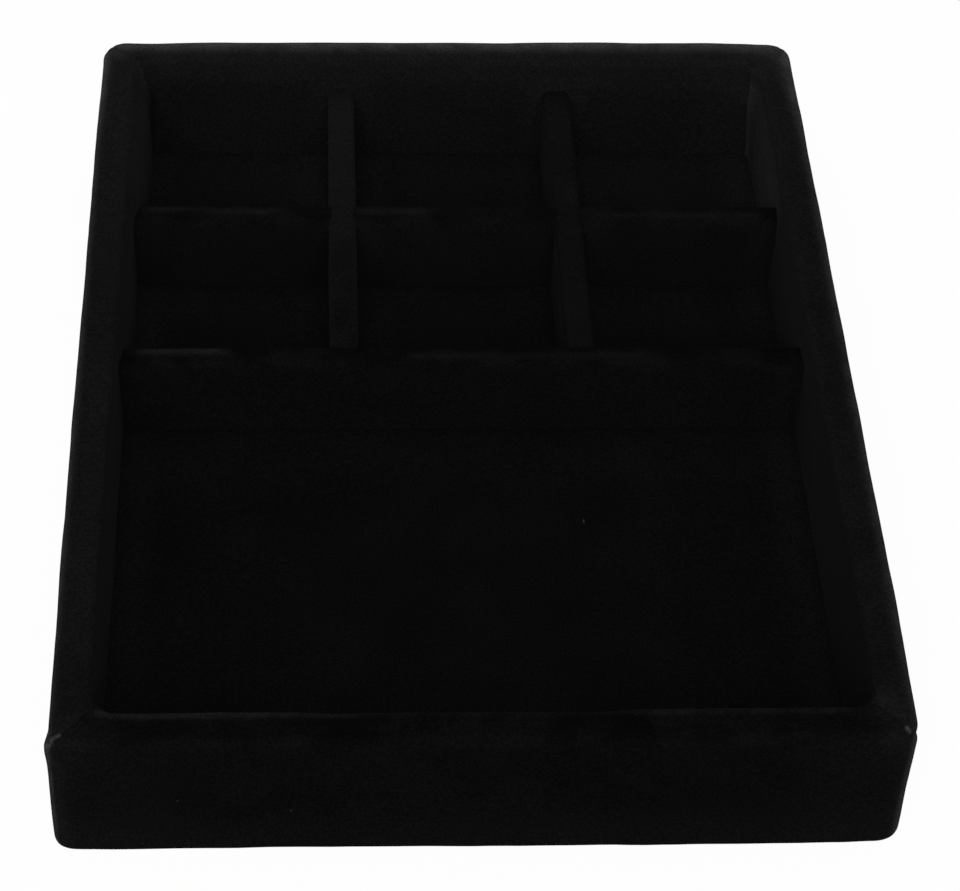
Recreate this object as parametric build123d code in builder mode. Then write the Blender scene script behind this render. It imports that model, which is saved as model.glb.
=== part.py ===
"""Velvet-covered jewelry display tray with six small compartments and one large one.

A wooden base board carries four wall boards with rebated corners. Two cross dividers and two
lengthwise dividers stand on the base board, halved into each other where they cross. Velvet
wraps the walls and each divider, and a velvet-covered card lies in every compartment.
Millimetres, +Z up, origin on the resting plane under the middle of the tray. The large
compartment is at the front, towards -Y.
"""
import os

from build123d import *

# Overall size, over the velvet
tray_width = 200.0
tray_length = 260.0
tray_height = 41.0

# Materials, by thickness
velvet = 0.8
wall_board = 8.0
divider_board = 6.0
base_board_thickness = 2.5
card = 1.5
sheet = 0.6

# Compartments
back_row_length = 51.0
middle_row_length = 49.6
columns = 3
divider_drop = 11.0

# Rounded edges, on the velvet's face
corner_radius = 6.5
pocket_corner = 1.8
rim_outer_radius = 2.8
rim_inner_radius = 2.4
base_edge_radius = 2.0
divider_edge_radius = 1.9

# Joints, margins and play
rebate_depth = wall_board / 2
turn_under = 13.0
sheet_margin = 3.0
sheet_play = 0.2
pad_play = 0.6
pad_edge_radius = 0.7

# Heights above the resting plane
turned_velvet_top = sheet + velvet
base_top = turned_velvet_top + base_board_thickness
floor_height = base_top + card + velvet
divider_top = tray_height - divider_drop
halving_height = (base_top + divider_top) / 2
wall_top = tray_height - velvet

# Plan of the boards and of the space between the wrapped walls
board_width = tray_width - 2 * velvet
board_length = tray_length - 2 * velvet
board_corner = corner_radius - velvet
wrapped_wall = wall_board + 2 * velvet
inner_width = tray_width - 2 * wrapped_wall
inner_length = tray_length - 2 * wrapped_wall
wrapped_divider = divider_board + 2 * velvet

# Plan of the dividers, measured from the middle of the tray
inner_back = inner_length / 2
back_cross_y = inner_back - back_row_length - wrapped_divider / 2
front_cross_y = back_cross_y - middle_row_length - wrapped_divider
column_width = (inner_width - (columns - 1) * wrapped_divider) / columns
long_divider_x = (column_width + wrapped_divider) / 2
long_divider_front = front_cross_y + wrapped_divider / 2
long_divider_length = inner_back - long_divider_front
long_divider_y = long_divider_front + long_divider_length / 2

os.makedirs("parts", exist_ok=True)


def write_piece(piece, name):
    """Labels a finished piece and writes it as its own file."""
    piece.label = name
    export_step(piece, f"parts/{name}.step")


def rim_loops(solid):
    """The outer and the inner edge loop of a ring's top face."""
    top = solid.faces().sort_by(Axis.Z)[-1]
    return top.outer_wire().edges(), top.inner_wires()[0].edges()


# Base board, its lower edge bevelled so that the velvet turns under it
with BuildPart() as base_board:
    with BuildSketch(Plane.XY.offset(turned_velvet_top)):
        RectangleRounded(board_width, board_length, board_corner)
    extrude(amount=base_board_thickness)
    underside = base_board.faces().sort_by(Axis.Z)[0]
    chamfer(underside.edges(), length=base_edge_radius - velvet)
write_piece(base_board.part, "base_board")

# The four walls glued up and rounded over together: each wall is cut from this frame
with BuildPart() as wall_frame:
    with BuildSketch(Plane.XY.offset(base_top)):
        RectangleRounded(board_width, board_length, board_corner)
        Rectangle(board_width - 2 * wall_board, board_length - 2 * wall_board, mode=Mode.SUBTRACT)
    extrude(amount=wall_top - base_top)
    outer_rim, inner_rim = rim_loops(wall_frame)
    fillet(outer_rim, radius=rim_outer_radius - velvet)
    outer_rim, inner_rim = rim_loops(wall_frame)
    fillet(inner_rim, radius=rim_inner_radius - velvet)

# Front and back walls run the full width, with a rebate at each end for the side walls
for name, side in (("front_wall", -1), ("back_wall", 1)):
    with BuildPart() as end_wall:
        with BuildSketch(Plane.XY.offset(base_top)):
            with Locations((0, side * (board_length - wall_board) / 2)):
                Rectangle(board_width, wall_board)
            rebate_x = (board_width - wall_board) / 2
            rebate_y = side * (board_length / 2 - wall_board + rebate_depth / 2)
            with Locations((-rebate_x, rebate_y), (rebate_x, rebate_y)):
                Rectangle(wall_board, rebate_depth, mode=Mode.SUBTRACT)
        extrude(amount=wall_top - base_top)
        add(wall_frame.part, mode=Mode.INTERSECT)
    write_piece(end_wall.part, name)

# Side walls, their ends seated in the rebates
for name, side in (("left_wall", -1), ("right_wall", 1)):
    with BuildPart() as side_wall:
        with BuildSketch(Plane.XY.offset(base_top)):
            with Locations((side * (board_width - wall_board) / 2, 0)):
                Rectangle(wall_board, board_length - 2 * (wall_board - rebate_depth))
        extrude(amount=wall_top - base_top)
        add(wall_frame.part, mode=Mode.INTERSECT)
    write_piece(side_wall.part, name)

# Velvet round the outside, rolled over the rim, down the inner faces and turned under the base
with BuildPart() as velvet_wrap:
    with BuildSketch(Plane.XY.offset(sheet)):
        RectangleRounded(tray_width, tray_length, corner_radius)
    extrude(amount=tray_height - sheet)
    with BuildSketch(Plane.XY.offset(base_top)):
        RectangleRounded(inner_width, inner_length, pocket_corner)
    extrude(amount=tray_height - base_top, mode=Mode.SUBTRACT)
    outer_rim, inner_rim = rim_loops(velvet_wrap)
    fillet(outer_rim, radius=rim_outer_radius)
    outer_rim, inner_rim = rim_loops(velvet_wrap)
    fillet(inner_rim, radius=rim_inner_radius)
    underside = velvet_wrap.faces().sort_by(Axis.Z)[0]
    fillet(underside.edges(), radius=base_edge_radius)
    add(base_board.part, mode=Mode.SUBTRACT)
    add(wall_frame.part, mode=Mode.SUBTRACT)
    with BuildSketch(Plane.XY.offset(sheet)):
        Rectangle(board_width - 2 * turn_under, board_length - 2 * turn_under)
    extrude(amount=velvet, mode=Mode.SUBTRACT)
write_piece(velvet_wrap.part, "velvet_wrap")

# Felt sheet glued underneath, thin over the turned velvet and full inside it
with BuildPart() as bottom_sheet:
    with BuildSketch(Plane.XY):
        RectangleRounded(
            tray_width - 2 * sheet_margin, tray_length - 2 * sheet_margin, corner_radius - sheet_margin
        )
    extrude(amount=sheet)
    with BuildSketch(Plane.XY.offset(sheet)):
        Rectangle(
            board_width - 2 * (turn_under + sheet_play), board_length - 2 * (turn_under + sheet_play)
        )
    extrude(amount=velvet)
write_piece(bottom_sheet.part, "bottom_sheet")


def divider_bar(centre, length, thickness, top, edge_radius, along):
    """An upright bar on the base board with its two long top edges rounded."""
    size = (length, thickness) if along == Axis.X else (thickness, length)
    with BuildPart() as bar:
        with BuildSketch(Plane.XY.offset(base_top)):
            with Locations(centre):
                Rectangle(*size)
        extrude(amount=top - base_top)
        top_face = bar.faces().sort_by(Axis.Z)[-1]
        fillet(top_face.edges().filter_by(along), radius=edge_radius)
    return bar.part


def write_divider(name, centre, length, along, halvings, halving_bottom, halving_top):
    """Writes a divider's board and its velvet sleeve, both cut for the dividers that cross it."""
    board = divider_bar(
        centre, length, divider_board, divider_top - velvet, divider_edge_radius - velvet, along
    )
    envelope = divider_bar(centre, length, wrapped_divider, divider_top, divider_edge_radius, along)
    with BuildPart() as cuts:
        with BuildSketch(Plane.XY.offset(halving_bottom)):
            with Locations(*halvings):
                Rectangle(wrapped_divider, wrapped_divider)
        extrude(amount=halving_top - halving_bottom)
    with BuildPart() as core:
        add(board)
        add(cuts.part, mode=Mode.SUBTRACT)
    write_piece(core.part, f"{name}_divider")
    with BuildPart() as sleeve:
        add(envelope)
        add(board, mode=Mode.SUBTRACT)
        add(cuts.part, mode=Mode.SUBTRACT)
    write_piece(sleeve.part, f"{name}_velvet")


crossings = [(-long_divider_x, back_cross_y), (long_divider_x, back_cross_y)]

# The back cross divider is halved from above, and the lengthwise dividers drop into it
write_divider(
    "back_cross", (0, back_cross_y), inner_width, Axis.X, crossings, halving_height, divider_top
)
for name, place in (("left_long", crossings[0]), ("right_long", crossings[1])):
    middle = (place[0], long_divider_y)
    write_divider(name, middle, long_divider_length, Axis.Y, [place], base_top, halving_height)

# The front cross divider is plain: the lengthwise dividers butt against its back
with BuildPart() as front_cross_divider:
    add(
        divider_bar(
            (0, front_cross_y),
            inner_width,
            divider_board,
            divider_top - velvet,
            divider_edge_radius - velvet,
            Axis.X,
        )
    )
write_piece(front_cross_divider.part, "front_cross_divider")
with BuildPart() as front_cross_velvet:
    add(
        divider_bar(
            (0, front_cross_y), inner_width, wrapped_divider, divider_top, divider_edge_radius, Axis.X
        )
    )
    add(front_cross_divider.part, mode=Mode.SUBTRACT)
write_piece(front_cross_velvet.part, "front_cross_velvet")


def write_pad(name, centre, width, length):
    """Writes a compartment's square-cut card and the velvet over its top and edges."""
    pad_width = width - 2 * pad_play
    pad_length = length - 2 * pad_play
    with BuildPart() as pad_card:
        with BuildSketch(Plane.XY.offset(base_top)):
            with Locations(centre):
                Rectangle(pad_width - 2 * velvet, pad_length - 2 * velvet)
        extrude(amount=card)
    write_piece(pad_card.part, f"pad_card_{name}")
    with BuildPart() as pad_velvet:
        with BuildSketch(Plane.XY.offset(base_top)):
            with Locations(centre):
                Rectangle(pad_width, pad_length)
        extrude(amount=floor_height - base_top)
        top_face = pad_velvet.faces().sort_by(Axis.Z)[-1]
        fillet(top_face.edges(), radius=pad_edge_radius)
        add(pad_card.part, mode=Mode.SUBTRACT)
    write_piece(pad_velvet.part, f"pad_velvet_{name}")


back_row_y = inner_back - back_row_length / 2
middle_row_y = back_cross_y - (wrapped_divider + middle_row_length) / 2
front_length = inner_back + front_cross_y - wrapped_divider / 2
front_y = front_length / 2 - inner_back
column_step = column_width + wrapped_divider

for row, row_y, row_length in (
    ("back", back_row_y, back_row_length),
    ("middle", middle_row_y, middle_row_length),
):
    for column, place in (("left", -1), ("centre", 0), ("right", 1)):
        write_pad(f"{row}_{column}", (place * column_step, row_y), column_width, row_length)
write_pad("front", (0, front_y), inner_width, front_length)
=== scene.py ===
"""Dresses the boards of a velvet jewelry display tray and sets the tray in a studio.

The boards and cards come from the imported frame. This file adds the velvet on the walls, on the
dividers and on the compartment floors, the felt underneath, a finish for every board, and the
floor, lamps and camera. Metres, +Z up, in the frame's own axes: the large compartment is at -Y.
"""
import math

import bmesh
import bpy
from mathutils import Matrix, Vector
from mathutils.geometry import intersect_point_line


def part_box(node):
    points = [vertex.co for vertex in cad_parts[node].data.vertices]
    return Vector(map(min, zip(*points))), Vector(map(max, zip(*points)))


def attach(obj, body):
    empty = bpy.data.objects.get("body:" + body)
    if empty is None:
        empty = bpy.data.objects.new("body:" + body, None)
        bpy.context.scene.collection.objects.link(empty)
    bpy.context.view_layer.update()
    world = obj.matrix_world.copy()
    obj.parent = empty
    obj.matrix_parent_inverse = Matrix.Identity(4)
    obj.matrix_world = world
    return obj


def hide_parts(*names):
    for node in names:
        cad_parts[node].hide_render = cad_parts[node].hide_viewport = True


bl_info = {
    "name": "Velvet Display Tray",
    "version": (1, 0, 0),
    "blender": (4, 5, 0),
    "location": "View3D > Sidebar > Tray",
    "description": "Covers the boards of a jewelry display tray with velvet and felt",
    "category": "Object",
}

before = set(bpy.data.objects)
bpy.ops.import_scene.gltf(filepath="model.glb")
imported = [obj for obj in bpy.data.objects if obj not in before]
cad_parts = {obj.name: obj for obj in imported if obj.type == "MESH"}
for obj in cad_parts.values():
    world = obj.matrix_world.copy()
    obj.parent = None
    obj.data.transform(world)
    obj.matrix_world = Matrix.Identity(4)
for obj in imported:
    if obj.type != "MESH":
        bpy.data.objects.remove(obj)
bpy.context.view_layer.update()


def middle_of(node):
    """The middle of the room that a piece of the frame takes up."""
    low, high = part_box(node)
    return (low + high) / 2


# Places that the boards fix
TRAY_LOW, TRAY_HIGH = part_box("velvet_wrap")
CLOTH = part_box("left_wall")[0].x - TRAY_LOW.x
RIM_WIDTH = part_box("left_wall")[1].x - TRAY_LOW.x + CLOTH
POCKET = Vector((TRAY_HIGH.x - RIM_WIDTH, TRAY_HIGH.y - RIM_WIDTH))
BASE_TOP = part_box("base_board")[1].z
FLOOR_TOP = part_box("pad_velvet_front")[1].z
DIVIDER_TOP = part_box("back_cross_velvet")[1].z
HALVING = (BASE_TOP + DIVIDER_TOP) / 2
BACK_CROSS_Y = middle_of("back_cross_velvet").y
FRONT_CROSS_Y = middle_of("front_cross_velvet").y
LONG_X = middle_of("right_long_velvet").x
COLUMN_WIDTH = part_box("left_long_velvet")[0].x + POCKET.x

# The names of the boards and cards
WALLS = ("front_wall", "back_wall", "left_wall", "right_wall")
DIVIDERS = ("back_cross", "front_cross", "left_long", "right_long")
ROWS = ("back", "middle")
COLUMNS = ("left", "centre", "right")
CELLS = (*(f"{row}_{column}" for row in ROWS for column in COLUMNS), "front")

# How round the lining bridges each upright corner of the pocket, by the signs of its x and y
BRIDGES = {(-1, 1): 0.007, (1, 1): 0.009, (-1, -1): 0.0055, (1, -1): 0.006}

# Where the lining of a side wall stands loose: the wall's sign, from y to y, and how far it stands
# off the wall
LOOSE_LINING = (
    (-1, BACK_CROSS_Y, 0.1240, 0.0032),
    (-1, FRONT_CROSS_Y, BACK_CROSS_Y, 0.0014),
    (1, FRONT_CROSS_Y, BACK_CROSS_Y, 0.0005),
)

# Where the cloth bunches at the outer corners: the place, the width in plan, the height, and how
# far it stands out or, below zero, dips in
CORNER_FOLDS = (
    ((-0.0985, -0.1275, 0.0370), 0.0050, 0.0009, -0.0003),
    ((-0.0992, -0.1262, 0.0325), 0.0050, 0.0032, 0.0003),
    ((0.0974, -0.1273, 0.0404), 0.0018, 0.0012, 0.0003),
    ((0.0984, -0.1276, 0.0374), 0.0036, 0.0007, -0.0002),
    ((-0.0968, 0.1268, 0.0400), 0.0040, 0.0014, -0.0003),
    ((-0.0990, 0.1230, 0.0390), 0.0024, 0.0014, 0.0002),
    ((0.0935, 0.1288, 0.0402), 0.0050, 0.0014, -0.0002),
    ((0.0972, 0.1265, 0.0398), 0.0030, 0.0014, 0.0002),
    ((-0.0880, 0.1290, 0.0400), 0.0110, 0.0040, -0.0005),
    ((0.0450, 0.1295, 0.0400), 0.0450, 0.0040, 0.0004),
    ((0.0500, -0.1300, 0.0010), 0.0550, 0.0100, 0.0006),
    ((0.0850, -0.1300, 0.0010), 0.0160, 0.0080, 0.0004),
)

# Where the pile is worn to its backing along a fold, with a painted glint on the fold's crest: from
# one place to another, the width, and how worn and bright it is there
FOLD_WEAR_AND_GLINTS = (
    ((-0.0968, -0.1268, 0.0407), (-0.0981, -0.1270, 0.0400), 0.0004, 0.9),
    ((-0.0981, -0.1270, 0.0400), (-0.0988, -0.1266, 0.0385), 0.0004, 1.1),
    ((-0.0988, -0.1266, 0.0385), (-0.1003, -0.1245, 0.0335), 0.0007, 1.1),
    ((0.0963, -0.1272, 0.0407), (0.0968, -0.1276, 0.0402), 0.0005, 1.2),
    ((-0.0952, 0.1287, 0.0400), (-0.0978, 0.1270, 0.0398), 0.0007, 1.0),
    ((0.0930, 0.1292, 0.0400), (0.0975, 0.1268, 0.0398), 0.0006, 1.0),
)

# How the cloth lies at each outer corner of the side walls: how far it is drawn in at the rim and
# over what length, how much thicker its folds make it below the rim, and how square it is at the base
SIDE_CORNERS = {
    (-1, -1): (0.0007, 0.035, 0.0007, 0.8),
    (1, -1): (0.0004, 0.025, 0.0002, 0.3),
    (-1, 1): (0.0003, 0.012, 0.0002, 1.0),
    (1, 1): (0.0003, 0.012, 0.0002, 1.0),
}

# Where the near rim's inner edge is rolled fuller: from one place to another, and how much
NEAR_RIM_ROLL = ((-0.086, -0.038, 0.0005), (0.030, 0.086, 0.0004))

# Where the lining is bunched at the near left corner of the pocket, in plan, how wide and how far
BUNCHED_LINING = ((-0.0890, -0.1190), 0.0040, 0.0011)

# How the pile is painted on each wall, from -0.5, dark, to 0.5, light, partly as it lies and partly
# as painted light and shade: on the rim, on the inner face and on the outer face
WALL_PILE_AND_LIGHT = {
    "left": (-0.16, 0.10, -0.14),
    "right": (-0.20, 0.42, -0.18),
    "near": (-0.43, -0.30, -0.35),
    "far": (-0.20, -0.07, -0.24),
}

# How that painted tone changes along a wall, mostly painted light and shade: the wall, the part of
# it, the axis, from where to where the change grows, and what it comes to
PILE_AND_LIGHT_CHANGES = (
    ("left", "rim", "y", -0.090, -0.120, -0.07),
    ("left", "rim", "y", 0.000, 0.120, 0.17),
    ("left", "inner", "y", -0.080, 0.010, 0.15),
    ("left", "inner", "y", 0.010, 0.040, 0.10),
    ("left", "inner", "y", 0.060, 0.090, 0.18),
    ("left", "outer", "y", -0.020, 0.100, 0.16),
    ("right", "rim", "y", 0.000, 0.120, 0.11),
    ("right", "inner", "y", 0.085, 0.055, -0.15),
    ("right", "inner", "y", 0.020, -0.120, -0.30),
    ("right", "outer", "y", -0.020, 0.100, 0.16),
    ("near", "rim", "x", -0.030, -0.060, 0.05),
    ("near", "rim", "x", 0.060, 0.072, 0.06),
    ("far", "inner", "x", 0.065, 0.080, 0.10),
)

# Painted light and shade about a corner of the rim: the place in plan, how wide, and how much on the
# rim and on the inner face
CORNER_PAINTED_LIGHT = (
    ((-0.0855, -0.1205), 0.0050, -0.08, 0.25),
    ((0.0925, -0.1195), 0.0045, 0.20, 0.0),
    ((0.0935, 0.1235), 0.0090, 0.22, 0.0),
)

# Where the columns of compartments start, after a first place left of the tray
COLUMN_STARTS = (
    2 * TRAY_LOW.x,
    -POCKET.x,
    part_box("left_long_velvet")[1].x,
    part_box("right_long_velvet")[1].x,
)

# How the pile is painted on each compartment floor, partly its lie and partly painted light, and
# how much painted light along its left and right edge, where the walls beside it shade it
FLOOR_PILE_AND_LIGHT = {
    "back_left": (-0.23, 0.27, 0.20),
    "back_centre": (-0.23, 0.18, 0.07),
    "back_right": (-0.18, 0.18, 0.22),
    "middle_left": (-0.30, 0.25, 0.07),
    "middle_centre": (-0.31, 0.18, 0.07),
    "middle_right": (-0.29, 0.18, 0.14),
    "front": (-0.34, 0.18, 0.15),
}

# How the pile is painted on each divider, partly its lie and partly painted light and shade: on the
# top and on the face at its near side or end, and at its far one
SLEEVE_PILE_AND_LIGHT = {
    "back_cross": ((-0.38, -0.18), (-0.34, -0.17)),
    "front_cross": ((-0.39, -0.21), (-0.38, -0.21)),
    "left_long": ((-0.32, 0.12), (-0.02, 0.50)),
    "right_long": ((-0.26, -0.20), (-0.24, 0.0)),
}

# How wide the painted highlight along the rim's outer edge is, drawn as fluffed pile, and how strong
# it is, and how much wider and stronger at the far end
EDGE_FRAY_AND_HIGHLIGHT = {
    "left": (0.0012, 0.45, 0.0007, 0.35),
    "right": (0.0019, 0.45, 0.0012, 0.35),
    "near": (0.0010, 0.0, 0.0, 0.0),
    "far": (0.0046, 0.87, 0.0, 0.0),
}

# How strong the painted highlights, drawn as fluffed pile, are at the rim's far and near corners and
# on the upright corner edges, and how much painted light the right wall's lining gets
FAR_CORNER_FRAY_AND_HIGHLIGHT, NEAR_CORNER_FRAY_AND_HIGHLIGHT, UPRIGHT_FRAY_AND_HIGHLIGHT, LINING_PAINTED_LIGHT = 0.28, 0.03, 0.4, 0.19

# Where light catches the pile along the near rim's inner edge and along the ridge on top of a cross
# divider: from one place to another, and how much
NEAR_RIM_EDGE = (
    (-0.089, -0.066, 0.20),
    (-0.066, -0.030, 0.17),
    (-0.030, 0.035, 0.05),
    (0.035, 0.084, 0.10),
)
LIT_RIDGES = {
    "back_cross": ((-0.086, -0.050, 0.06), (-0.027, -0.008, 0.06), (0.040, 0.086, 0.04)),
    "front_cross": ((-0.086, -0.062, 0.11), (-0.014, 0.006, 0.045), (0.006, 0.048, 0.035)),
}

# How far that ridge runs before the top's far edge, at the least and more in places
RIDGE_INSET = 0.0012
RIDGES = {
    "back_cross": ((-0.100, -0.070, 0.0007), (-0.070, 0.036, 0.0021), (0.036, 0.100, 0.0036)),
    "front_cross": ((-0.100, -0.062, 0.0010), (-0.062, 0.100, 0.0030)),
}

# How high the waves are on a divider and on a compartment floor, against those of the walls
SLEEVE_WAVES, FLOOR_WAVES = 0.7, 0.6

# How finely the skins are cut: along a divider, down its sides, across its top, and on a floor
ALONG_SLICE, SIDE_SLICE, TOP_SLICE, FLOOR_SLICE = 0.0024, 0.0026, 0.0008, 0.0026

# How squarely a face that is picked by its normal has to face that way, and the play in a place
SQUARELY = 0.9
TINY = 1e-6

# What every colour setting has in common
TINT = {"size": 3, "min": 0.0, "max": 1.0}


class TrayCloth(bpy.types.PropertyGroup):
    """How the velvet and the felt lie on the boards."""

    corner_radius: bpy.props.FloatProperty(
        name="Corner radius",
        description="Plan radius of the tray's outer corners",
        default=0.0065,
        unit="LENGTH",
    )
    pocket_radius: bpy.props.FloatProperty(
        name="Pocket radius",
        description="Plan radius of the lining where two walls meet, at the compartment floors",
        default=0.0032,
        unit="LENGTH",
    )
    rim_outer_radius: bpy.props.FloatProperty(
        name="Outer rim radius",
        description="Rounding of the rim's outer edge",
        default=0.0028,
        unit="LENGTH",
    )
    rim_inner_radius: bpy.props.FloatProperty(
        name="Inner rim radius",
        description="Rounding of the rim's inner edge",
        default=0.0024,
        unit="LENGTH",
    )
    base_radius: bpy.props.FloatProperty(
        name="Base radius",
        description="Rounding of the velvet where it turns under the base",
        default=0.002,
        unit="LENGTH",
    )
    turn_under: bpy.props.FloatProperty(
        name="Turn under",
        description="Width of the velvet glued to the underside",
        default=0.0138,
        unit="LENGTH",
    )
    mitre_depth: bpy.props.FloatProperty(
        name="Mitre depth",
        description="Depth of the crease where the cloth meets across the rim's corners",
        default=0.00008,
        unit="LENGTH",
    )
    divider_radius: bpy.props.FloatProperty(
        name="Divider radius",
        description="Rounding of a divider's top edges",
        default=0.0019,
        unit="LENGTH",
    )
    overlap: bpy.props.FloatProperty(
        name="Overlap",
        description="How far a divider's sleeve reaches into the cloth that it meets",
        default=0.0011,
        unit="LENGTH",
    )
    pad_radius: bpy.props.FloatProperty(
        name="Pad radius",
        description="Rounding of a compartment floor's edges",
        default=0.0007,
        unit="LENGTH",
    )
    pad_reach: bpy.props.FloatProperty(
        name="Pad reach",
        description="How far the pile of a compartment floor fills the gap round it",
        default=0.0009,
        unit="LENGTH",
    )
    pad_crown: bpy.props.FloatProperty(
        name="Pad crown",
        description="How much higher the middle of a compartment floor stands than its edges",
        default=0.0004,
        unit="LENGTH",
    )
    felt_inset: bpy.props.FloatProperty(
        name="Felt margin",
        description="Width of the thin felt between its edge and the raised middle above it",
        default=0.011,
        unit="LENGTH",
    )
    wave_height: bpy.props.FloatProperty(
        name="Wave height",
        description="How far the glued velvet wanders from its board",
        default=0.0003,
        unit="LENGTH",
    )
    wave_length: bpy.props.FloatProperty(
        name="Wave length",
        description="Length of the velvet's slow waves",
        default=0.022,
        unit="LENGTH",
    )


class TrayFinish(bpy.types.PropertyGroup):
    """The colours and the pile of the velvet, and the colours of felt, fibreboard and card."""

    deep: bpy.props.FloatVectorProperty(
        name="Deep velvet",
        description="Colour where one looks down into the pile",
        default=(0.0014, 0.0014, 0.0015),
        subtype="COLOR",
        **TINT,
    )
    # Also the light end of the light and shade painted on the velvet
    brushed: bpy.props.FloatVectorProperty(
        name="Brushed velvet",
        description="Colour where the pile lies the other way",
        default=(0.0165, 0.0165, 0.0170),
        subtype="COLOR",
        **TINT,
    )
    worn: bpy.props.FloatVectorProperty(
        name="Worn velvet",
        description="Colour of the rubbed pile along the rim and the dividers' tops",
        default=(0.0104, 0.0104, 0.0107),
        subtype="COLOR",
        **TINT,
    )
    # Also the colour of the painted highlights along the outer edge and at the corners
    frayed_and_highlight: bpy.props.FloatVectorProperty(
        name="Frayed velvet",
        description="Colour of the fluffed pile along the outer edge and at the corners",
        default=(0.069, 0.069, 0.0695),
        subtype="COLOR",
        **TINT,
    )
    # Also the colour of the painted glints on the folds' crests
    backing: bpy.props.FloatVectorProperty(
        name="Backing",
        description="Colour of the cloth's backing, where the pile is worn through on a fold",
        default=(0.27, 0.27, 0.26),
        subtype="COLOR",
        **TINT,
    )
    lint: bpy.props.FloatVectorProperty(
        name="Lint",
        description="Colour of the few specks that cling to the pile",
        default=(0.025, 0.025, 0.0255),
        subtype="COLOR",
        **TINT,
    )
    sheen: bpy.props.FloatProperty(
        name="Sheen",
        description="Strength of the light that the pile's tips catch at a low angle",
        default=0.0055,
        subtype="FACTOR",
    )
    tuft: bpy.props.FloatProperty(
        name="Tuft size",
        description="Width of a tuft of pile",
        default=0.0006,
        unit="LENGTH",
    )
    felt: bpy.props.FloatVectorProperty(
        name="Felt",
        description="Colour of the felt underneath",
        default=(0.011, 0.011, 0.012),
        subtype="COLOR",
        **TINT,
    )
    fibreboard: bpy.props.FloatVectorProperty(
        name="Fibreboard",
        description="Colour of the boards",
        default=(0.42, 0.29, 0.18),
        subtype="COLOR",
        **TINT,
    )
    card: bpy.props.FloatVectorProperty(
        name="Card",
        description="Colour of the cards under the compartment floors",
        default=(0.3, 0.29, 0.27),
        subtype="COLOR",
        **TINT,
    )


class TrayStudio(bpy.types.PropertyGroup):
    """The floor, the lamps and the camera."""

    floor_size: bpy.props.FloatProperty(
        name="Floor size", description="Width of the pale floor", default=8.0, unit="LENGTH"
    )
    floor_white: bpy.props.FloatProperty(
        name="Floor white",
        description="How far the camera sees the floor as white and not as lit",
        default=0.965,
        subtype="FACTOR",
    )
    key_power: bpy.props.FloatProperty(
        name="Key lamp",
        description="Power of the large lamp in front of the tray",
        default=32.0,
        unit="POWER",
    )
    fill_power: bpy.props.FloatProperty(
        name="Fill lamp",
        description="Power of the small lamp over the far end",
        default=0.43,
        unit="POWER",
    )
    sky: bpy.props.FloatProperty(
        name="Surround", description="Strength of the even light from all round", default=0.42
    )
    lens: bpy.props.FloatProperty(
        name="Focal length", description="The camera's focal length", default=104.3, unit="CAMERA"
    )
    place: bpy.props.FloatVectorProperty(
        name="Camera place",
        description="Where the camera stands",
        size=3,
        default=(-0.0372, -0.5227, 0.5366),
        subtype="TRANSLATION",
    )
    pitch: bpy.props.FloatProperty(
        name="Pitch",
        description="How far the camera looks down",
        default=math.radians(45.43),
        subtype="ANGLE",
    )
    yaw: bpy.props.FloatProperty(
        name="Yaw",
        description="How far the camera turns from the tray's long axis",
        default=math.radians(-4.62),
        subtype="ANGLE",
    )
    roll: bpy.props.FloatProperty(
        name="Roll",
        description="How far the camera leans",
        default=math.radians(3.07),
        subtype="ANGLE",
    )


# Modelling by hand: open a piece, pick its edges or faces by place, shape them


def add_block(low, high):
    """Adds a block between two corners, on its own or in the piece that is open."""
    bpy.ops.mesh.primitive_cube_add(size=1, location=(low + high) / 2, scale=high - low)


def open_block(name, low, high):
    """Starts a piece as a block between two corners and opens it for editing."""
    bpy.ops.object.select_all(action="DESELECT")
    add_block(low, high)
    piece = bpy.context.object
    piece.name = name
    piece.data.name = name
    bpy.ops.object.transform_apply(location=True, rotation=True, scale=True)
    bpy.ops.object.mode_set(mode="EDIT")
    return piece


def close_piece():
    """Leaves the open piece and goes back to whole pieces."""
    bpy.ops.object.mode_set(mode="OBJECT")


def pick(piece, kind, test):
    """Selects the open piece's edges or faces that pass a test, and nothing else."""
    bpy.ops.mesh.select_mode(type=kind)
    bpy.ops.mesh.select_all(action="DESELECT")
    mesh = bmesh.from_edit_mesh(piece.data)
    for part in mesh.edges if kind == "EDGE" else mesh.faces:
        if test(part):
            part.select_set(True)
    mesh.select_flush_mode()
    bmesh.update_edit_mesh(piece.data)


def ends(edge):
    """The two end points of an edge."""
    return [vertex.co for vertex in edge.verts]


def spans(edge, axis, low=-1.0, high=1.0):
    """True for an edge along one axis whose ends both lie between two places on it."""
    a, b = ends(edge)
    across = [i for i in range(3) if i != axis]
    straight = all(abs(a[i] - b[i]) < TINY for i in across)
    return straight and all(low - TINY <= p[axis] <= high + TINY for p in (a, b))


def at_height(edge, height):
    """True for an edge whose ends both lie at one height."""
    return all(abs(p.z - height) < TINY for p in ends(edge))


def split(piece, cuts, test):
    """Cuts the picked edges of the open piece into equal lengths."""
    pick(piece, "EDGE", test)
    bpy.ops.mesh.subdivide(number_cuts=cuts, quadcorner="INNERVERT")


def bisect(place, axis):
    """Cuts the open piece along a plane square to one axis."""
    bpy.ops.mesh.select_all(action="SELECT")
    normal = [0.0, 0.0, 0.0]
    normal[axis] = 1.0
    point = [0.0, 0.0, 0.0]
    point[axis] = place
    bpy.ops.mesh.bisect(plane_co=point, plane_no=normal)


def slice_up(axis, low, high, width):
    """Cuts the open piece into even slices of about one width between two places on an axis."""
    count = round((high - low) / width)
    for index in range(1, count):
        bisect(low + (high - low) * index / count, axis)


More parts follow.
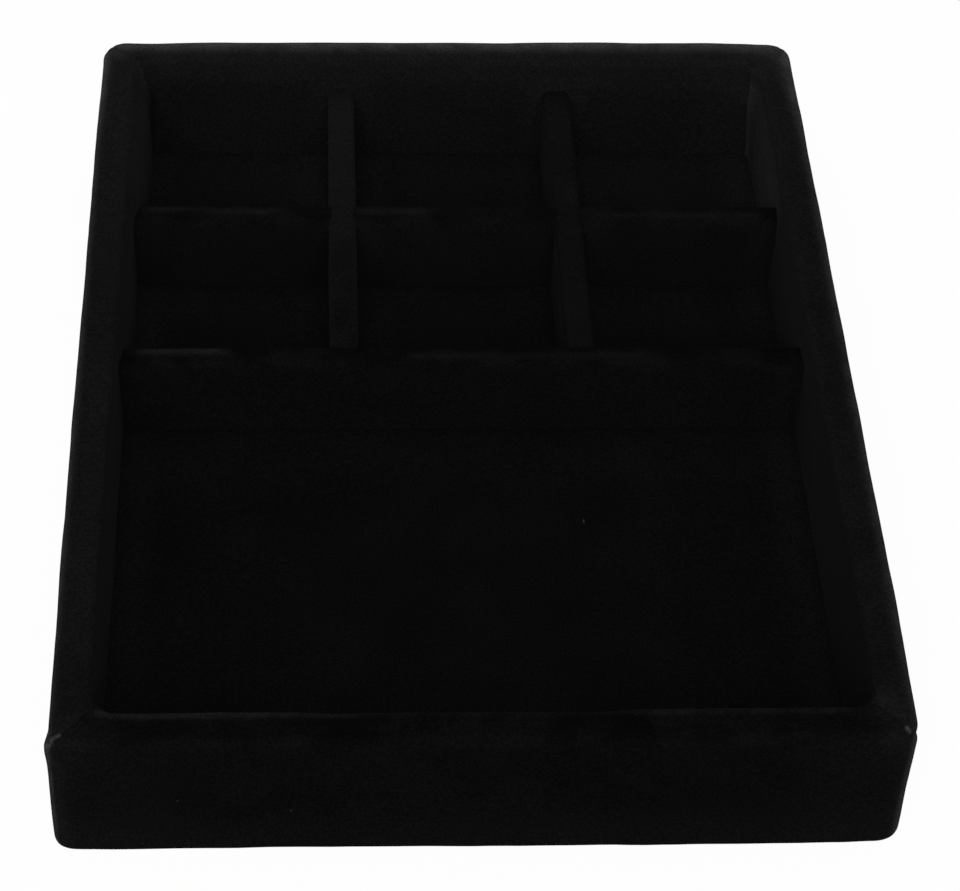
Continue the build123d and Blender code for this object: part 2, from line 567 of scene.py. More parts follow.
def round_edges(piece, radius, segments, test):
    """Rounds the picked edges of the open piece."""
    pick(piece, "EDGE", test)
    bpy.ops.mesh.bevel(offset=radius, segments=segments, profile=0.5, affect="EDGES")


def drop_faces(piece, test):
    """Deletes the picked faces of the open piece."""
    pick(piece, "FACE", test)
    bpy.ops.mesh.delete(type="FACE")


def copy_piece(piece, name, shift):
    """Copies a piece with its own mesh and shifts the copy in its mesh."""
    copy = piece.copy()
    copy.data = piece.data.copy()
    copy.name = name
    copy.data.name = name
    copy.data.transform(Matrix.Translation(shift))
    bpy.context.scene.collection.objects.link(copy)
    return copy


def take_up(piece):
    """Makes a piece the only selected one."""
    bpy.ops.object.select_all(action="DESELECT")
    piece.select_set(True)
    bpy.context.view_layer.objects.active = piece


def finish_modifiers(piece):
    """Applies a piece's modifiers in order."""
    take_up(piece)
    for modifier in list(piece.modifiers):
        bpy.ops.object.modifier_apply(modifier=modifier.name)


def thicken(piece, thickness):
    """Gives the single skin of a piece the thickness of its cloth, inwards."""
    modifier = piece.modifiers.new("Cloth", "SOLIDIFY")
    modifier.thickness = thickness
    modifier.offset = -1.0
    finish_modifiers(piece)


def make_waves(piece, height, length):
    """Lets a glued skin wander slowly in and out."""
    waves = bpy.data.textures.new(f"{piece.name}_waves", "CLOUDS")
    waves.noise_scale = length
    waves.noise_depth = 2
    modifier = piece.modifiers.new("Waves", "DISPLACE")
    modifier.texture = waves
    modifier.texture_coords = "LOCAL"
    modifier.strength = 2 * height
    finish_modifiers(piece)


def move_points(piece, shift):
    """Moves every point of a piece by a function of its place and its normal."""
    shifts = [shift(vertex.co.copy(), vertex.normal.copy()) for vertex in piece.data.vertices]
    for vertex, step in zip(piece.data.vertices, shifts):
        vertex.co += step
    piece.data.update()


def hill(distance, width):
    """A smooth hill of height 1 at distance 0."""
    return math.exp(-((distance / width) ** 2))


def fade(value, start, end):
    """Goes smoothly from 0 at the start to 1 at the end."""
    part = min(max((value - start) / (end - start), 0.0), 1.0)
    return part * part * (3 - 2 * part)


def within(place, low, high, soft):
    """1 between two places on a line and 0 outside them, with soft ends."""
    return fade(place, low - soft, low + soft) * fade(place, high + soft, high - soft)


def along(place, parts):
    """How much of an effect there is at a place on a line, from its parts with soft ends."""
    soft = 0.003
    return sum(strength * within(place, low, high, soft) for low, high, strength in parts)


def paint(piece, name, amount):
    """Keeps a number at every point of a piece for its material, by the point's place and normal."""
    layer = piece.data.attributes.new(name, "FLOAT", "POINT")
    for vertex, entry in zip(piece.data.vertices, layer.data):
        entry.value = amount(vertex.co, vertex.normal)


def hand_over(piece, slot, material, *nodes):
    """Finishes a piece: smooth shading, its material, its body and the nodes that it stands for."""
    take_up(piece)
    sharpest = math.radians(50)
    bpy.ops.object.shade_smooth_by_angle(angle=sharpest)
    piece.data.materials.append(material)
    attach(piece, "root")
    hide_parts(*nodes)


# The velvet round the walls


def gaps(point):
    """How far a point lies inside the tray's sides and inside its ends."""
    return TRAY_HIGH.x - abs(point.x), TRAY_HIGH.y - abs(point.y)


def inset(point):
    """How far a point lies inside the tray's outline, ignoring the corners' rounding."""
    return min(gaps(point))


def lines_pocket(point):
    """True on the half of the walls' velvet that faces the compartments."""
    return inset(point) > RIM_WIDTH / 2


def wall_at(point):
    """The wall that a point of the velvet belongs to."""
    side_gap, end_gap = gaps(point)
    if side_gap < end_gap:
        return "left" if point.x < 0 else "right"
    return "near" if point.y < 0 else "far"


def corner_of(point):
    """The signs of x and y at the corner of the tray nearest to a point."""
    return math.copysign(1, point.x), math.copysign(1, point.y)


def loop_at(height, nearest, farthest):
    """A test for edges at one height whose ends lie within a band inside the outline."""

    def test(edge):
        band = all(nearest - TINY <= inset(p) <= farthest + TINY for p in ends(edge))
        return band and at_height(edge, height)

    return test


def wall_skin(cloth):
    """The walls' velvet as a single skin: out of the pocket, over the rim, down and under."""
    top, bottom = TRAY_HIGH.z, TRAY_LOW.z
    corner_steps, rim_steps, base_steps = 16, 8, 6
    halfway = RIM_WIDTH / 2
    pocket_high = Vector((POCKET.x, POCKET.y, top))
    pocket_low = Vector((-POCKET.x, -POCKET.y, BASE_TOP))

    skin = open_block("wall_velvet", TRAY_LOW, TRAY_HIGH)
    round_edges(skin, cloth.corner_radius, corner_steps, lambda edge: spans(edge, 2))
    bpy.ops.mesh.select_all(action="DESELECT")
    add_block(pocket_low, pocket_high)
    round_edges(
        skin,
        cloth.pocket_radius,
        corner_steps,
        lambda edge: spans(edge, 2) and all(lines_pocket(p) for p in ends(edge)),
    )
    drop_faces(skin, lambda face: abs(face.normal.z) > SQUARELY)
    pick(skin, "FACE", lambda face: lines_pocket(face.calc_center_median()))
    bpy.ops.mesh.flip_normals()
    pick(skin, "EDGE", loop_at(top, 0.0, 1.0))
    bpy.ops.mesh.bridge_edge_loops()
    round_edges(skin, cloth.rim_outer_radius, rim_steps, loop_at(top, 0.0, halfway))
    round_edges(skin, cloth.rim_inner_radius, rim_steps, loop_at(top, halfway, 1.0))

    pick(skin, "EDGE", loop_at(bottom, 0.0, halfway))
    bpy.ops.mesh.extrude_edges_move()
    bpy.ops.transform.resize(
        value=(1 - cloth.turn_under / TRAY_HIGH.x, 1 - cloth.turn_under / TRAY_HIGH.y, 1)
    )
    turned = loop_at(bottom, 0.0, cloth.corner_radius / 2)
    round_edges(skin, cloth.base_radius, base_steps, turned)
    return skin


def at_fold_mark(point):
    """True near the folds of the outer corners, which are worn and carry painted glints."""
    reach = 0.004
    return any((point - Vector(fold[0])).length < reach for fold in FOLD_WEAR_AND_GLINTS)


def rim_step(edge):
    """How much nearer to the outline one end of an edge is than the other."""
    first, second = ends(edge)
    return abs(inset(first) - inset(second))


def refine_walls(skin):
    """Cuts the walls' skin finely near the corners and the rim, and coarsely between them."""
    zone = 0.007
    longer = zone / 4
    width_cuts, length_cuts, corner_cuts, upright_cuts = 44, 60, 9, 13
    near = Vector((POCKET.x - zone, POCKET.y - zone, TRAY_HIGH.z - RIM_WIDTH - longer))

    def split_along(axis, low, high, cuts, shortest=0.0):
        split(skin, cuts, lambda edge: spans(edge, axis, low, high) and edge.calc_length() > shortest)

    flat_rim = loop_at(TRAY_HIGH.z, 0.0, 1.0)
    split(skin, corner_cuts, lambda edge: flat_rim(edge) and rim_step(edge) > RIM_WIDTH / 4)
    for axis, cuts in ((0, width_cuts), (1, length_cuts)):
        for side in (-1, 1):
            bisect(side * near[axis], axis)
        split_along(axis, -near[axis], near[axis], cuts)
        for low, high in ((-1, -near[axis]), (near[axis], 1)):
            split_along(axis, low, high, corner_cuts, longer)
    bisect(near.z, 2)
    split_along(2, 0.0, near.z, upright_cuts)
    split_along(2, near.z, TRAY_HIGH.z, upright_cuts, longer)
    pick(skin, "FACE", lambda face: at_fold_mark(face.calc_center_median()))
    bpy.ops.mesh.subdivide(number_cuts=2)


def bridge_corner(point, cloth):
    """Rounds the pocket's upright corners more with height, where the lining bridges them."""
    signs = corner_of(point)
    place = Vector((abs(point.x), abs(point.y)))
    tight = POCKET - Vector((cloth.pocket_radius, cloth.pocket_radius))
    reach = Vector((max(place.x - tight.x, 0.0), max(place.y - tight.y, 0.0)))
    outside = reach.length - cloth.pocket_radius
    growth = fade(point.z, FLOOR_TOP, DIVIDER_TOP - CLOTH)
    radius = cloth.pocket_radius + growth * (BRIDGES[signs] - cloth.pocket_radius)
    centre = POCKET - Vector((radius, radius))
    arm = place - centre
    if min(arm) <= 0:
        return Vector()
    moved = centre + arm.normalized() * (radius + outside)
    step = (moved - place) * (1 - fade(outside, 0.0, RIM_WIDTH / 2))
    return Vector((step.x * signs[0], step.y * signs[1], 0))


def square_corner(point, cloth):
    """Squares the tray's outer corners more towards the base, where the cloth is folded over."""
    radius = cloth.corner_radius
    reach = [(abs(point[i]) - TRAY_HIGH[i]) / radius + 1 for i in (0, 1)]
    if min(reach) <= 0:
        return Vector()
    *_, square = SIDE_CORNERS[corner_of(point)]
    squared_below = 0.6 * TRAY_HIGH.z
    power = 2 + square * fade(point.z, squared_below, BASE_TOP)
    rounded = sum(part**power for part in reach) ** (1 / power)
    growth = radius * (math.hypot(*reach) / rounded - 1)
    return Vector([math.copysign(reach[i] * growth, point[i]) for i in (0, 1)] + [0])


def stand_loose(point, normal):
    """Sets the lining of a side wall off the wall where it is loose."""
    slack = fade(point.z, TRAY_HIGH.z - CLOTH, DIVIDER_TOP)
    soft = 0.004
    step = 0.0
    for side, low, high, off in LOOSE_LINING:
        if normal.x * side < 0 and lines_pocket(point):
            step -= side * off * within(point.y, low, high, soft) * slack * abs(normal.x)
    return Vector((step, 0, 0))


def at_fold(point, place, width, height):
    """How near a point is to a fold of the cloth, from 0 to 1."""
    return hill(math.dist(point.xy, place[:2]), width) * hill(point.z - place[2], height)


def fold_corner(point, normal, cloth):
    """Bunches the cloth at the outer corners and creases it across the rim's corners."""
    side_gap, end_gap = gaps(point)
    rim_foot = TRAY_HIGH.z - 2 * cloth.rim_outer_radius
    below = fade(point.z, rim_foot, rim_foot - 0.0015)
    at_rim = fade(point.z, rim_foot - 0.003, rim_foot + 0.002)
    out = 0.0
    for place, width, height, stands in CORNER_FOLDS:
        out += stands * at_fold(point, place, width, height)
    if lines_pocket(point):
        if wall_at(point) == "near" and abs(normal.y) > 0.1:
            out += along(point.x, NEAR_RIM_ROLL) * at_rim
        place, width, stands = BUNCHED_LINING
        out += stands * hill(math.dist(point.xy, place), width) * at_rim
    else:
        drawn_in, length, doubled, _ = SIDE_CORNERS[corner_of(point)]
        folded_over = fade(end_gap, 0.011, 0.005) * below
        out -= drawn_in * hill(end_gap, length) * (1 - below) * abs(normal.x)
        out += doubled * folded_over * abs(normal.x)
    deepest = -0.6 * CLOTH
    off_mitre = abs(side_gap - end_gap) / math.sqrt(2)
    groove, swell = hill(off_mitre, 0.0006), hill(off_mitre, 0.0020)
    crease = 2.2 * groove - 0.7 * swell
    on_rim = fade(point.z, TRAY_HIGH.z - cloth.rim_outer_radius, TRAY_HIGH.z)
    outwards = Vector((normal.x, normal.y, normal.z * (1 - below)))
    return outwards * (max(out, deepest) - cloth.mitre_depth * crease * on_rim)


def settle_walls(skin, cloth):
    """Shapes the walls' skin as the cloth lies: bridged, loose and bunched in places."""
    move_points(skin, lambda point, normal: bridge_corner(point, cloth))
    move_points(skin, lambda point, normal: square_corner(point, cloth))
    move_points(skin, stand_loose)
    move_points(skin, lambda point, normal: fold_corner(point, normal, cloth))


def from_start(point, starts=COLUMN_STARTS):
    """How far a point is to the right of the nearest start of a compartment."""
    return min(point.x - start for start in starts if start < point.x)


def far_lining_painted_light(point):
    """How much painted light the far wall's lining gets: below the rim and beside the dividers."""
    depth = 0.0115 + 0.005 * fade(point.x, 0.03, 0.06)
    below_rim = fade(TRAY_HIGH.z - point.z, depth, 0.006)
    past_start = from_start(point)
    before_end = COLUMN_WIDTH - past_start
    beside = fade(past_start, 0.010, 0.001) + fade(before_end, 0.0082, 0.0012)
    lighter = 0.15
    return lighter * (below_rim + beside * fade(point.z, 0.036, 0.030))


def near_face_painted_light(point):
    """Painted light on the near wall's outer face: lighter towards its ends, less at the upper left.
    """
    side_gap = gaps(point)[0]
    upper_left = fade(point.z, 0.032, 0.036) * fade(point.x, 0.0, -0.05)
    at_corner = (0.3 - 0.20 * upper_left) * hill(side_gap, 0.0034)
    before_corner = 0.055 * fade(side_gap, 0.035, 0.015)
    return before_corner + at_corner


def wall_pile_and_light(point, normal):
    """How the pile is painted on the wall that a point belongs to: partly its lie, partly painted
    light and shade.
    """
    wall = wall_at(point)
    lean = dict(zip(("rim", "inner", "outer"), WALL_PILE_AND_LIGHT[wall]))
    for changed, part, axis, start, end, change in PILE_AND_LIGHT_CHANGES:
        if changed == wall:
            lean[part] += change * fade(getattr(point, axis), start, end)
    for place, width, on_rim, on_inner in CORNER_PAINTED_LIGHT:
        near = hill(math.dist(point.xy, place), width)
        lean["rim"] += on_rim * near
        lean["inner"] += on_inner * near
    if wall == "far":
        lean["inner"] += far_lining_painted_light(point)
    if wall == "near":
        lean["outer"] += near_face_painted_light(point)
    # Painted light: the outer faces lighter towards the base
    towards_base = fade(point.z, TRAY_HIGH.z / 2, 0.0)
    lean["outer"] += 0.1 * towards_base
    upright = lean["inner" if lines_pocket(point) else "outer"]
    flat = max(normal.z, 0.0)
    return lean["rim"] * flat + upright * (1 - flat)


def wall_wear_and_highlights(point, normal):
    """Painted highlights on the walls' velvet, drawn as fluffed and worn pile: at the rim's outer
    edge, on the folds and at the corners, and painted light on the right wall's lining.
    """
    wall = wall_at(point)
    side_gap, end_gap = gaps(point)
    drop = TRAY_HIGH.z - point.z
    # Painted highlights drawn as fluffed pile: along the rim's outer edge, at the corners and on the
    # upright corner edges
    width, worn, wider, more = EDGE_FRAY_AND_HIGHLIGHT[wall]
    far_end = fade(point.y, 0.08, 0.12)
    edge = hill(inset(point), width + wider * far_end) * fade(drop, 0.007, 0.003)
    corner = fade(math.hypot(side_gap, end_gap), 0.014, 0.004) * fade(drop, 0.014, 0.002)
    reach = 0.0012 if point.x < 0 else 0.0030
    upright = fade(side_gap, reach, reach / 5) * fade(end_gap, 0.012, 0.006)
    marks = [
        (worn + more * far_end) * edge,
        (FAR_CORNER_FRAY_AND_HIGHLIGHT if point.y > 0 else NEAR_CORNER_FRAY_AND_HIGHLIGHT) * corner,
        UPRIGHT_FRAY_AND_HIGHLIGHT * upright,
    ]
    # Painted light on the right wall's lining
    if wall == "right" and lines_pocket(point):
        marks.append(LINING_PAINTED_LIGHT * fade(point.y, 0.05, 0.075) * fade(drop, 0.002, 0.007))
    # Painted highlight along the near rim's inner edge
    if wall == "near" and normal.z > 0.2:
        inner_edge = hill(end_gap - RIM_WIDTH + 0.0005, 0.0013)
        marks.append(along(point.x, NEAR_RIM_EDGE) * inner_edge)
    # Painted glints along the folds' crests, partly worn pile
    for start, end, spread, wear in FOLD_WEAR_AND_GLINTS:
        nearest, part = intersect_point_line(point, start, end)
        if not 0 < part < 1:
            nearest = Vector(end if part > 0.5 else start)
        marks.append(wear * hill((point - nearest).length, spread))
    return max(marks)


class TRAY_OT_wall_velvet(bpy.types.Operator):
    """Wrap the four walls in one piece of velvet, from the pocket over the rim and under the base"""

    bl_idname = "tray.wall_velvet"
    bl_label = "Wall Velvet"

    def execute(self, context):
        cloth = context.scene.tray_cloth
        skin = wall_skin(cloth)
        refine_walls(skin)
        close_piece()
        settle_walls(skin, cloth)
        make_waves(skin, cloth.wave_height, cloth.wave_length)
        # The pile's lie with painted light and shade, and wear with painted highlights, at every
        # point
        paint(skin, "lean", wall_pile_and_light)
        paint(skin, "wear", wall_wear_and_highlights)
        thicken(skin, CLOTH)
        velvet = velvet_finish("wall velvet", TRAY_HIGH.z, rubbed=0.2)
        hand_over(skin, "velvet", velvet, "velvet_wrap")
        return {"FINISHED"}


# The velvet on the dividers


def sleeve_skin(name, cloth, axis, crossings, halved_above):
    """A divider's sleeve as a single skin over its sides and top, cut where it crosses others."""
    low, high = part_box(f"{name}_velvet")
    low[axis] -= cloth.overlap
    high[axis] += cloth.overlap
    half = (high[1 - axis] - low[1 - axis]) / 2 - cloth.overlap
    radius, steps = cloth.divider_radius, 5
    skin = open_block(f"{name}_cloth", low, high)
    round_edges(skin, radius, steps, lambda edge: spans(edge, axis) and at_height(edge, high.z))
    drop_faces(skin, lambda face: face.normal.z < -SQUARELY or abs(face.normal[axis]) > SQUARELY)

    stops = [low[axis]]
    for place in crossings:
        stops += [place - half, place + half]
    stops.append(high[axis])
    for place in stops[1:-1]:
        bisect(place, axis)
    for start, end in zip(stops, stops[1:]):
        slice_up(axis, start, end, ALONG_SLICE)
    slice_up(1 - axis, low[1 - axis] + radius, high[1 - axis] - radius, TOP_SLICE)
    bisect(HALVING, 2)
    slice_up(2, low.z, HALVING, SIDE_SLICE)
    slice_up(2, HALVING, high.z - radius, SIDE_SLICE)

    def in_halving(face):
        middle = face.calc_center_median()
        level = (middle.z > HALVING) == halved_above
        return level and any(abs(middle[axis] - place) < half for place in crossings)

    drop_faces(skin, in_halving)
    close_piece()
    return skin, stops


def sink_ends(skin, axis, stops, cloth):
    """Draws a sleeve's top down a little where it meets a wall or another divider."""
    reach = 0.0022

    def shift(point, normal):
        near = max(hill(point[axis] - place, reach) for place in stops)
        return Vector((0, 0, -cloth.overlap / 3 * near * fade(point.z, HALVING, DIVIDER_TOP)))

    move_points(skin, shift)


def finish_sleeve(skin, name, velvet, cloth):
    low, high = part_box(f"{name}_velvet")
    near, far = SLEEVE_PILE_AND_LIGHT[name]
    lit, ridge = LIT_RIDGES.get(name, ()), RIDGES.get(name, ())
    # In front of the front cross divider there is one compartment, from the left wall on
    starts = COLUMN_STARTS[:2] if name == "front_cross" else COLUMN_STARTS

    def before_ridge(point):
        return high.y - RIDGE_INSET - along(point.x, ridge) - point.y

    def sleeve_pile_and_light(point, normal):
        top, face = Vector(near).lerp(Vector(far), fade(point.y, low.y + CLOTH, high.y - CLOTH))
        flat = max(normal.z, 0.0)
        if ridge:
            past_ridge = fade(before_ridge(point), 0.0, -RIDGE_INSET)
            past_start = fade(from_start(point, starts), 0.010, 0.001)
            at_right_wall = fade(high.x - point.x, 0.014, 0.001)
            # Painted shade past the ridge; painted light beside a wall or divider where a compartment
            # starts, by the right wall, and on the rounded edges facing the far side, with shade on
            # those facing near
            top -= 0.02 * past_ridge
            face += 0.12 * (past_start + at_right_wall) + 0.24 * flat * normal.y
        return top * flat + face * (1 - flat)

    # Painted highlight along the ridge on a cross divider's top
    def ridge_highlight(point, normal):
        at_ridge = hill(before_ridge(point), 0.0014) * fade(high.z - point.z, 0.004, 0.002)
        return along(point.x, lit) * at_ridge

    paint(skin, "lean", sleeve_pile_and_light)
    paint(skin, "wear", ridge_highlight)
    make_waves(skin, cloth.wave_height * SLEEVE_WAVES, cloth.wave_length)
    thicken(skin, CLOTH)
    hand_over(skin, "velvet", velvet, f"{name}_velvet")


class TRAY_OT_divider_velvet(bpy.types.Operator):
    """Cover the four dividers with velvet sleeves that meet where the dividers cross"""

    bl_idname = "tray.divider_velvet"
    bl_label = "Divider Velvet"

    def execute(self, context):
        cloth = context.scene.tray_cloth
        velvet = velvet_finish("divider velvet", DIVIDER_TOP, rubbed=0.2)

        for name, crossings in (("back_cross", (-LONG_X, LONG_X)), ("front_cross", ())):
            skin, stops = sleeve_skin(name, cloth, 0, crossings, halved_above=True)
            sink_ends(skin, 0, stops, cloth)
            finish_sleeve(skin, name, velvet, cloth)
        left, stops = sleeve_skin("left_long", cloth, 1, (BACK_CROSS_Y,), halved_above=False)
        sink_ends(left, 1, (stops[0], stops[-1]), cloth)
        right = copy_piece(left, "right_long_cloth", Vector((2 * LONG_X, 0, 0)))
        finish_sleeve(left, "left_long", velvet, cloth)
        finish_sleeve(right, "right_long", velvet, cloth)
        return {"FINISHED"}


# The velvet on the compartment floors


def pad_skin(name, cloth):
    """A compartment floor's velvet as a single skin over the card, crowned in the middle."""
    low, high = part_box(f"pad_velvet_{name}")
    reach = Vector((cloth.pad_reach, cloth.pad_reach, 0))
    low -= reach
    high += reach
    margin, steps = 2 * cloth.pad_radius, 4
    skin = open_block(f"{name}_floor_cloth", low, high)
    round_edges(skin, margin, steps, lambda edge: spans(edge, 2))
    drop_faces(skin, lambda face: face.normal.z < -SQUARELY)
    round_edges(skin, cloth.pad_radius, steps, lambda edge: at_height(edge, high.z))
    for axis in (0, 1):
        slice_up(axis, low[axis] + margin, high[axis] - margin, FLOOR_SLICE)
    close_piece()

    middle, half = (low + high) / 2, (high - low) / 2

    def crown(point, normal):
        away = [((point[i] - middle[i]) / half[i]) ** 2 for i in (0, 1)]
        return Vector((0, 0, cloth.pad_crown * (1 - away[0]) * (1 - away[1])))

    move_points(skin, crown)
    return skin


def finish_pad(skin, name, velvet, cloth):
    low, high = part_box(f"pad_velvet_{name}")
    lean, left_painted_light, right_painted_light = FLOOR_PILE_AND_LIGHT[name]

    def floor_pile_and_light(point, normal):
        # Painted light: lighter towards the ends and the sides, where walls and dividers shade the
        # floor
        if name == "front":
            near_end = 0.06 * fade(point.y, -0.05, -0.12) + 0.14 * fade(point.y, -0.098, -0.118)
        else:
            near_end = 0.12 * fade(point.y, low.y + 0.012, low.y)
        far_end = 0.08 * fade(point.y, high.y - 0.03, high.y)
        left_side = left_painted_light * fade(point.x - low.x, 0.013, 0.002)
        right_side = right_painted_light * fade(high.x - point.x, 0.013, 0.002)
        return lean + near_end + far_end + left_side + right_side

    paint(skin, "lean", floor_pile_and_light)
    paint(skin, "wear", lambda point, normal: 0.0)
    make_waves(skin, cloth.wave_height * FLOOR_WAVES, cloth.wave_length)
    thicken(skin, CLOTH)
    hand_over(skin, "velvet", velvet, f"pad_velvet_{name}")


class TRAY_OT_floor_velvet(bpy.types.Operator):
    """Lay a velvet-covered floor in each compartment"""

    bl_idname = "tray.floor_velvet"
    bl_label = "Floor Velvet"

    def execute(self, context):
        cloth = context.scene.tray_cloth
        velvet = velvet_finish("floor velvet", FLOOR_TOP, rubbed=0.0)
        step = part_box("pad_velvet_back_right")[0].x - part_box("pad_velvet_back_centre")[0].x
        for row in ROWS:
            first = pad_skin(f"{row}_{COLUMNS[0]}", cloth)
            skins = [first]
            for place, column in enumerate(COLUMNS[1:], start=1):
                shift = Vector((place * step, 0, 0))
                skins.append(copy_piece(first, f"{row}_{column}_floor_cloth", shift))
            for skin, column in zip(skins, COLUMNS):
                finish_pad(skin, f"{row}_{column}", velvet, cloth)
        finish_pad(pad_skin("front", cloth), "front", velvet, cloth)
        return {"FINISHED"}


# The felt underneath


class TRAY_OT_base_felt(bpy.types.Operator):
    """Glue the felt over the velvet's turned edge, under the base"""

    bl_idname = "tray.base_felt"
    bl_label = "Base Felt"

    def execute(self, context):
        cloth = context.scene.tray_cloth
        low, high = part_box("bottom_sheet")
        felt_top = TRAY_LOW.z
        margin = TRAY_HIGH.x - high.x
        corner_steps, edge_steps = 6, 2
        felt = open_block("base_felt", low, Vector((high.x, high.y, felt_top)))
        round_edges(felt, cloth.corner_radius - margin, corner_steps, lambda edge: spans(edge, 2))
        round_edges(felt, felt_top / 4, edge_steps, lambda edge: at_height(edge, low.z))
        pick(felt, "FACE", lambda face: face.normal.z > SQUARELY)
        bpy.ops.mesh.inset(thickness=cloth.felt_inset, depth=0)
        bpy.ops.mesh.extrude_region_move(TRANSFORM_OT_translate={"value": (0, 0, high.z - felt_top)})
        close_piece()
        colour = context.scene.tray_finish.felt
        finish = fibre_finish("felt", colour, fibre_size=0.0012, depth=0.0003, sheen=0.05)
        hand_over(felt, "felt", finish, "bottom_sheet")
        return {"FINISHED"}


# Materials


def new_material(name):
    """A material with its node tree and its Principled shader."""
    material = bpy.data.materials.new(name)
    material.use_nodes = True
    return material, material.node_tree, material.node_tree.nodes["Principled BSDF"]


def wire(tree, node, wires):
    """Gives each named input of a node a value or a link, and returns the node's outputs."""
    for name, value in wires.items():
        if isinstance(value, bpy.types.NodeSocket):
            tree.links.new(value, node.inputs[name])
        else:
            node.inputs[name].default_value = value
    return node.outputs


def add_node(tree, kind, wires, **settings):
    """Adds a node with its settings and its inputs."""
    node = tree.nodes.new(kind)
    for name, value in settings.items():
        setattr(node, name, value)
    return wire(tree, node, wires)


def add_effect(tree, name, wires):
    """Places a shared effect's node group in a material, with its own values."""
    node = tree.nodes.new("ShaderNodeGroup")
    node.node_tree = effect_group(name)
    return wire(tree, node, wires)


def on_piece(tree):
    """The place of a point on its piece."""
    return add_node(tree, "ShaderNodeTexCoord", {})["Object"]


def sum_up(tree, kind, first, second):
    """One step of arithmetic on numbers that change over the surface."""
    return add_node(tree, "ShaderNodeMath", {0: first, 1: second}, operation=kind)["Value"]


def ramp(tree, value, start, end, low=0.0, high=1.0):
    """Goes smoothly from low to high as a value goes from a start to an end."""
    wires = {"Value": value, "From Min": start, "From Max": end, "To Min": low, "To Max": high}
    return add_node(tree, "ShaderNodeMapRange", wires, interpolation_type="SMOOTHSTEP")["Result"]


def noise(tree, place, scale, detail, distortion=0.0):
    """Soft three-dimensional noise at a place on the piece."""
    wires = {"Vector": place, "Scale": scale, "Detail": detail, "Distortion": distortion}
    return add_node(tree, "ShaderNodeTexNoise", wires)["Fac"]


def scale_of(tree, size):
    """The scale of a pattern whose parts are of one size."""
    return sum_up(tree, "DIVIDE", 1.0, size)


# The Mix node's sockets for two colours and for what they make, which have no names of their own
FIRST_COLOUR, SECOND_COLOUR, MIXED_COLOUR = 6, 7, 2


def mix_colours(tree, amount, first, second):
    """Mixes two colours by an amount that changes over the surface."""
    node = tree.nodes.new("ShaderNodeMix")
    node.data_type = "RGBA"
    tree.links.new(amount, node.inputs["Factor"])
    for place, value in ((FIRST_COLOUR, first), (SECOND_COLOUR, second)):
        wire(tree, node, {place: value if isinstance(value, bpy.types.NodeSocket) else (*value, 1)})
    return node.outputs[MIXED_COLOUR]


def pile_nodes(tree, given):
    """Cut pile: the height of its tufts, their light and dark tips, and where it lies brushed,
    together with the painted light and shade that each piece gives it.
    """
    place = on_piece(tree)
    tufts = noise(tree, place, scale_of(tree, given["Tuft Size"]), detail=3.0)
    sweeps = noise(tree, place, scale_of(tree, given["Brush Size"]), detail=2.5, distortion=0.8)
    patches = sum_up(tree, "MULTIPLY", sum_up(tree, "SUBTRACT", sweeps, 0.5), given["Patchiness"])
    share = sum_up(tree, "ADD", sum_up(tree, "ADD", patches, given["Lean"]), 0.5)
    return tufts, ramp(tree, tufts, 0.35, 0.68), share


def rubbed_nodes(tree, given):
    """Where handling has rubbed the pile: patches along the highest few millimetres of a piece."""
    place = on_piece(tree)
    height = add_node(tree, "ShaderNodeSeparateXYZ", {"Vector": place})["Z"]
    start = sum_up(tree, "SUBTRACT", given["Top"], given["Depth"])
    near_top = ramp(tree, height, start, given["Top"])
    patches = ramp(tree, noise(tree, place, scale=90.0, detail=4.0), 0.4, 0.66)
    both = sum_up(tree, "MULTIPLY", near_top, patches)
    return (sum_up(tree, "MULTIPLY", both, given["Amount"]),)


def lint_nodes(tree, given):
    """A few short specks of lint, each the chance of one cell of a scattered pattern."""
    wires = {"Vector": on_piece(tree), "Rotation": (0.3, 0.2, 0.7), "Scale": (1.0, 0.3, 1.0)}
    drawn_out = add_node(tree, "ShaderNodeMapping", wires)["Vector"]
    wires = {"Vector": drawn_out, "Scale": scale_of(tree, given["Spacing"])}
    cells = add_node(tree, "ShaderNodeTexVoronoi", wires)
    near = sum_up(tree, "LESS_THAN", cells["Distance"], given["Speck Size"])
    chance = add_node(tree, "ShaderNodeSeparateColor", {"Color": cells["Color"]})["Red"]
    picked = sum_up(tree, "LESS_THAN", chance, given["Share"])
    return (sum_up(tree, "MULTIPLY", near, picked),)


def fibre_nodes(tree, given):
    """Matted fibre, as in felt, fibreboard and grey card: its height and its light and dark."""
    place = on_piece(tree)
    strands = noise(tree, place, scale_of(tree, given["Fibre Size"]), detail=5.0, distortion=1.5)
    clouds = noise(tree, place, scale=60.0, detail=3.0)
    return strands, ramp(tree, sum_up(tree, "MULTIPLY", strands, clouds), 0.12, 0.4)


# The effects that materials share: what builds each, its inputs with their defaults, its outputs
EFFECTS = {
    "Cut pile": (
        pile_nodes,
        {"Tuft Size": 0.0006, "Brush Size": 0.03, "Patchiness": 0.15, "Lean": 0.0},
        ("Height", "Tips", "Brushed"),
    ),
    "Rubbed edge": (rubbed_nodes, {"Top": 0.041, "Depth": 0.004, "Amount": 0.5}, ("Mask",)),
    "Lint": (lint_nodes, {"Spacing": 0.006, "Speck Size": 0.05, "Share": 0.06}, ("Mask",)),
    "Matted fibre": (fibre_nodes, {"Fibre Size": 0.0008}, ("Height", "Tone")),
}


